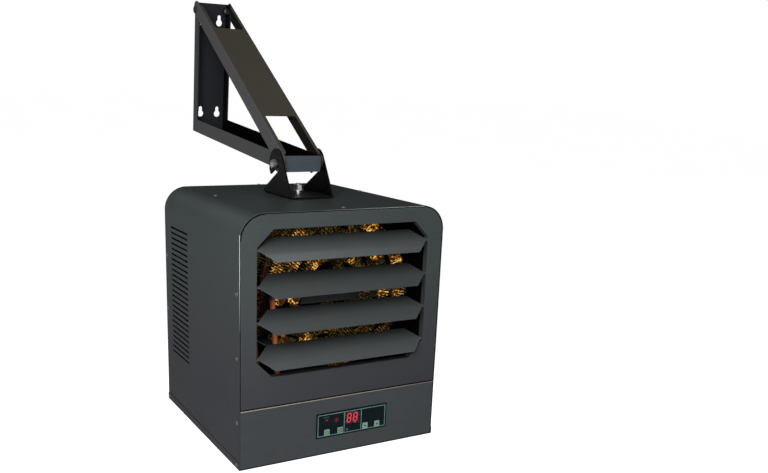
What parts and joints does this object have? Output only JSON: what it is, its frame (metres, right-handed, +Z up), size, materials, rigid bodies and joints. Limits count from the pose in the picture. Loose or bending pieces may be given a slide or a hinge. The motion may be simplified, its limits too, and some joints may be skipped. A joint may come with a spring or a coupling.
{
  "type": "wall-mounted fan heater",
  "caption": "Boxy electric fan heater with tilting louvres over finned heating rings, hung from a swivelling, tilting wall bracket.",
  "frame": {"origin": "centre of the four-keyhole pattern on the wall face of the bracket", "axes": "+Y into the wall, +Z up, +X to the right seen from the front; the arm reaches along -Y"},
  "size_m": [0.3618, 0.6533, 0.7076],
  "materials": {
    "bracket_paint": "semi-gloss olive black powder coat",
    "cabinet_paint": "satin slate powder coat",
    "cover_paint": "satin slate powder coat",
    "louver_paint": "satin powder coat",
    "liner_black": "matt black enamel",
    "zinc_steel": "bright zinc plate",
    "galvanised": "galvanised sheet",
    "overlay_film": "printed film",
    "key_cap": "moulded key cap",
    "lens": "smoked clear lens",
    "display_body": "digit module",
    "status_lamp": "diffused lamp",
    "board_laminate": "circuit board",
    "black_plastic": "moulded plastic",
    "motor_steel": "black enamel",
    "shaft_steel": "ground steel",
    "fan_aluminium": "pressed blades",
    "element_copper": "heat-tinted finned tube",
    "ceramic_white": "glazed insulator",
    "terminal_brass": "plain brass",
    "transformer_steel": "laminated core",
    "dark_screw": "black oxide"
  },
  "bodies": {
    "bracket": {"wall_plate": "bracket_paint", "lower_arm": "bracket_paint", "arm_end_plate": "bracket_paint", "brace": "bracket_paint", "brace_bolts": "dark_screw", "brace_nuts": "dark_screw", "tilt_bolts": "zinc_steel", "tilt_washers": "zinc_steel", "tilt_nuts": "zinc_steel"},
    "yoke": {"yoke": "bracket_paint"},
    "cabinet": {"wrapper": "cabinet_paint", "bottom_pan": "cabinet_paint", "front_panel": "cabinet_paint", "access_cover": "cover_paint", "control_overlay": "overlay_film", "display_lens": "lens", "segment_display": "display_body", "status_lights": "status_lamp", "control_board": "board_laminate", "board_relays": "black_plastic", "key_switches": "black_plastic", "rear_panel": "cabinet_paint", "rear_guard": "liner_black", "knockout_plugs": "black_plastic", "side_shields": "galvanised", "divider_shelf": "galvanised", "air_duct": "liner_black", "fan_shroud": "galvanised", "fan_motor": "motor_steel", "motor_mount": "galvanised", "outer_element": "element_copper", "middle_element": "element_copper", "inner_element": "element_copper", "terminal_plate": "galvanised", "element_terminals": "ceramic_white", "element_strap": "galvanised", "high_limit_switch": "black_plastic", "sensing_bulb": "zinc_steel", "contactor": "black_plastic", "transformer": "transformer_steel", "terminal_block": "black_plastic", "ground_lug": "terminal_brass", "top_reinforcement": "galvanised", "swivel_bolt": "zinc_steel", "swivel_spacer": "zinc_steel", "swivel_washer": "zinc_steel", "swivel_nut": "zinc_steel", "side_screws": "dark_screw", "pan_screws": "dark_screw", "top_screws": "dark_screw"},
    "louver_1": {"louver_1": "louver_paint"},
    "louver_2": {"louver_2": "louver_paint"},
    "louver_3": {"louver_3": "louver_paint"},
    "louver_4": {"louver_4": "louver_paint"},
    "fan": {"fan": "fan_aluminium", "fan_shaft": "shaft_steel"},
    "power_key": {"power_key": "key_cap"},
    "fan_key": {"fan_key": "key_cap"},
    "down_key": {"down_key": "key_cap"},
    "up_key": {"up_key": "key_cap"}
  },
  "joints": [
    {"name": "tilt", "type": "hinge", "parent": "bracket", "child": "yoke", "pos_m": [0, -0.43, -0.116], "axis": [1, 0, 0], "range_deg": [-10, 15]},
    {"name": "swivel", "type": "hinge", "parent": "yoke", "child": "cabinet", "pos_m": [0, -0.43967, -0.16429], "axis": [0, 0.0958, 0.9954], "range_deg": [-40, 40]},
    {"name": "louver_1_pivot", "type": "hinge", "parent": "cabinet", "child": "louver_1", "pos_m": [0, -0.61781, -0.20621], "axis": [1, 0, 0], "range_deg": [-40, 35]},
    {"name": "louver_2_pivot", "type": "hinge", "parent": "cabinet", "child": "louver_2", "pos_m": [0, -0.6231, -0.26116], "axis": [1, 0, 0], "range_deg": [-40, 35]},
    {"name": "louver_3_pivot", "type": "hinge", "parent": "cabinet", "child": "louver_3", "pos_m": [0, -0.62837, -0.31591], "axis": [1, 0, 0], "range_deg": [-40, 35]},
    {"name": "louver_4_pivot", "type": "hinge", "parent": "cabinet", "child": "louver_4", "pos_m": [0, -0.63374, -0.37165], "axis": [1, 0, 0], "range_deg": [-40, 35]},
    {"name": "fan_spin", "type": "hinge", "parent": "cabinet", "child": "fan", "pos_m": [0, -0.45016, -0.31498], "axis": [0, 0.9954, -0.0958], "continuous": true},
    {"name": "power_key_press", "type": "slide", "parent": "cabinet", "child": "power_key", "axis": [0, 0.9954, -0.0958], "range_m": [0, 0.0004], "stiffness_N_per_m": 1500},
    {"name": "fan_key_press", "type": "slide", "parent": "cabinet", "child": "fan_key", "axis": [0, 0.9954, -0.0958], "range_m": [0, 0.0004], "stiffness_N_per_m": 1500},
    {"name": "down_key_press", "type": "slide", "parent": "cabinet", "child": "down_key", "axis": [0, 0.9954, -0.0958], "range_m": [0, 0.0004], "stiffness_N_per_m": 1500},
    {"name": "up_key_press", "type": "slide", "parent": "cabinet", "child": "up_key", "axis": [0, 0.9954, -0.0958], "range_m": [0, 0.0004], "stiffness_N_per_m": 1500}
  ]
}
